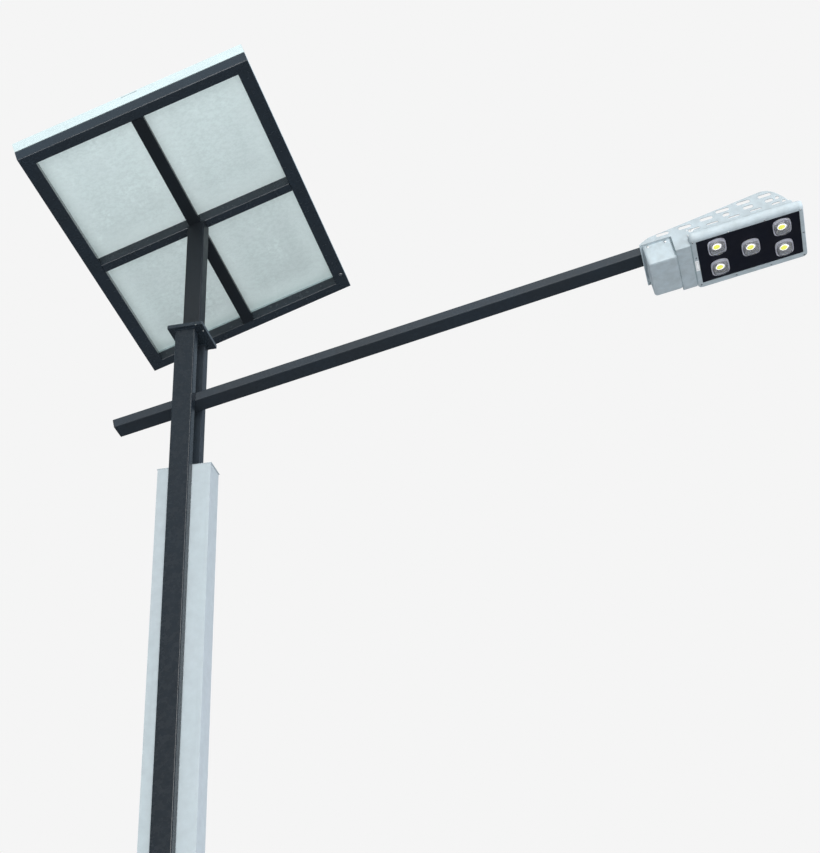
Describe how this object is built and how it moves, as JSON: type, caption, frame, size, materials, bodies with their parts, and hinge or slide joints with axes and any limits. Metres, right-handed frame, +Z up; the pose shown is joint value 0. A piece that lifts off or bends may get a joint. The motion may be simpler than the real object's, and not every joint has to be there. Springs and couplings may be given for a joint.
{
  "type": "solar street lamp",
  "caption": "Twin-column steel street lamp with a tilted solar module on top, a slanted arm and an LED lamp head that tilts, and a battery casing with a service door.",
  "frame": {"origin": "centre of the base flange's underside, midway between the two columns", "axes": "+Z up the pole, +X along the arm to the lamp head, +Y from the front column to the rear one"},
  "size_m": [3.0198, 1.611, 6.8163],
  "materials": {
    "black_powder_coat": "anthracite powder coat, satin",
    "light_grey_paint": "light grey powder coat, satin",
    "anodised_aluminium": "clear anodised, satin",
    "zinc_plated_steel": "zinc plated",
    "black_plastic": "matte",
    "black_rubber": "matte",
    "battery_case": "matte",
    "controller_case": "matte",
    "white_backsheet": "satin film",
    "solar_cells": "coated silicon",
    "clear_glass": "clear, tempered",
    "black_led_plate": "black, satin",
    "led_emitter": "yellow phosphor",
    "clear_lens": "clear, moulded"
  },
  "bodies": {
    "pole": {"arm_tail_cap": "black_plastic", "arm_tube": "black_powder_coat", "backsheet": "white_backsheet", "base_flange": "black_powder_coat", "battery_pack": "battery_case", "battery_shelf": "zinc_plated_steel", "cap_plate": "black_powder_coat", "casing_lid": "light_grey_paint", "cell_layer": "solar_cells", "charge_controller": "controller_case", "far_frame_tube": "black_powder_coat", "far_module_rail": "anodised_aluminium", "front_column": "black_powder_coat", "high_cross_bar": "black_powder_coat", "high_frame_tube": "black_powder_coat", "high_module_rail": "anodised_aluminium", "junction_box": "black_plastic", "long_cross_bar": "black_powder_coat", "low_cross_bar": "black_powder_coat", "low_frame_tube": "black_powder_coat", "low_module_rail": "anodised_aluminium", "lower_casing": "light_grey_paint", "lower_hinge_leaf": "zinc_plated_steel", "lower_hinge_pin": "zinc_plated_steel", "module_glass": "clear_glass", "near_frame_tube": "black_powder_coat", "near_module_rail": "anodised_aluminium", "panel_post": "black_powder_coat", "rear_column": "black_powder_coat", "upper_casing": "light_grey_paint", "upper_hinge_leaf": "zinc_plated_steel", "upper_hinge_pin": "zinc_plated_steel"},
    "door": {"door_gasket": "black_rubber", "lock_body": "zinc_plated_steel", "service_door": "light_grey_paint"},
    "lock": {"lock_cam": "zinc_plated_steel", "lock_plug": "zinc_plated_steel"},
    "head": {"bezel": "light_grey_paint", "bezel_gasket": "black_rubber", "driver_box": "light_grey_paint", "far_side_plate": "light_grey_paint", "head_tray": "light_grey_paint", "heat_sink": "anodised_aluminium", "led_chip_1": "led_emitter", "led_chip_2": "led_emitter", "led_chip_3": "led_emitter", "led_chip_4": "led_emitter", "led_chip_5": "led_emitter", "led_driver": "anodised_aluminium", "led_lens_1": "clear_lens", "led_lens_2": "clear_lens", "led_lens_3": "clear_lens", "led_lens_4": "clear_lens", "led_lens_5": "clear_lens", "led_plate": "black_led_plate", "near_side_plate": "light_grey_paint", "neck_box": "light_grey_paint", "tilt_bolt": "zinc_plated_steel", "tilt_bracket": "black_powder_coat", "tilt_nut": "zinc_plated_steel"}
  },
  "joints": [
    {"name": "door_hinge", "type": "hinge", "parent": "pole", "child": "door", "pos_m": [0.1233, 0.046, 0.87], "axis": [0, 0, 1], "range_deg": [0, 110]},
    {"name": "lock_turn", "type": "hinge", "parent": "door", "child": "lock", "pos_m": [0.1149, -0.02, 0.87], "axis": [-1, 0, 0], "range_deg": [0, 90]},
    {"name": "head_tilt", "type": "hinge", "parent": "pole", "child": "head", "pos_m": [1.93044, 0, 6.09256], "axis": [0, -1, 0], "range_deg": [-10, 10]}
  ]
}
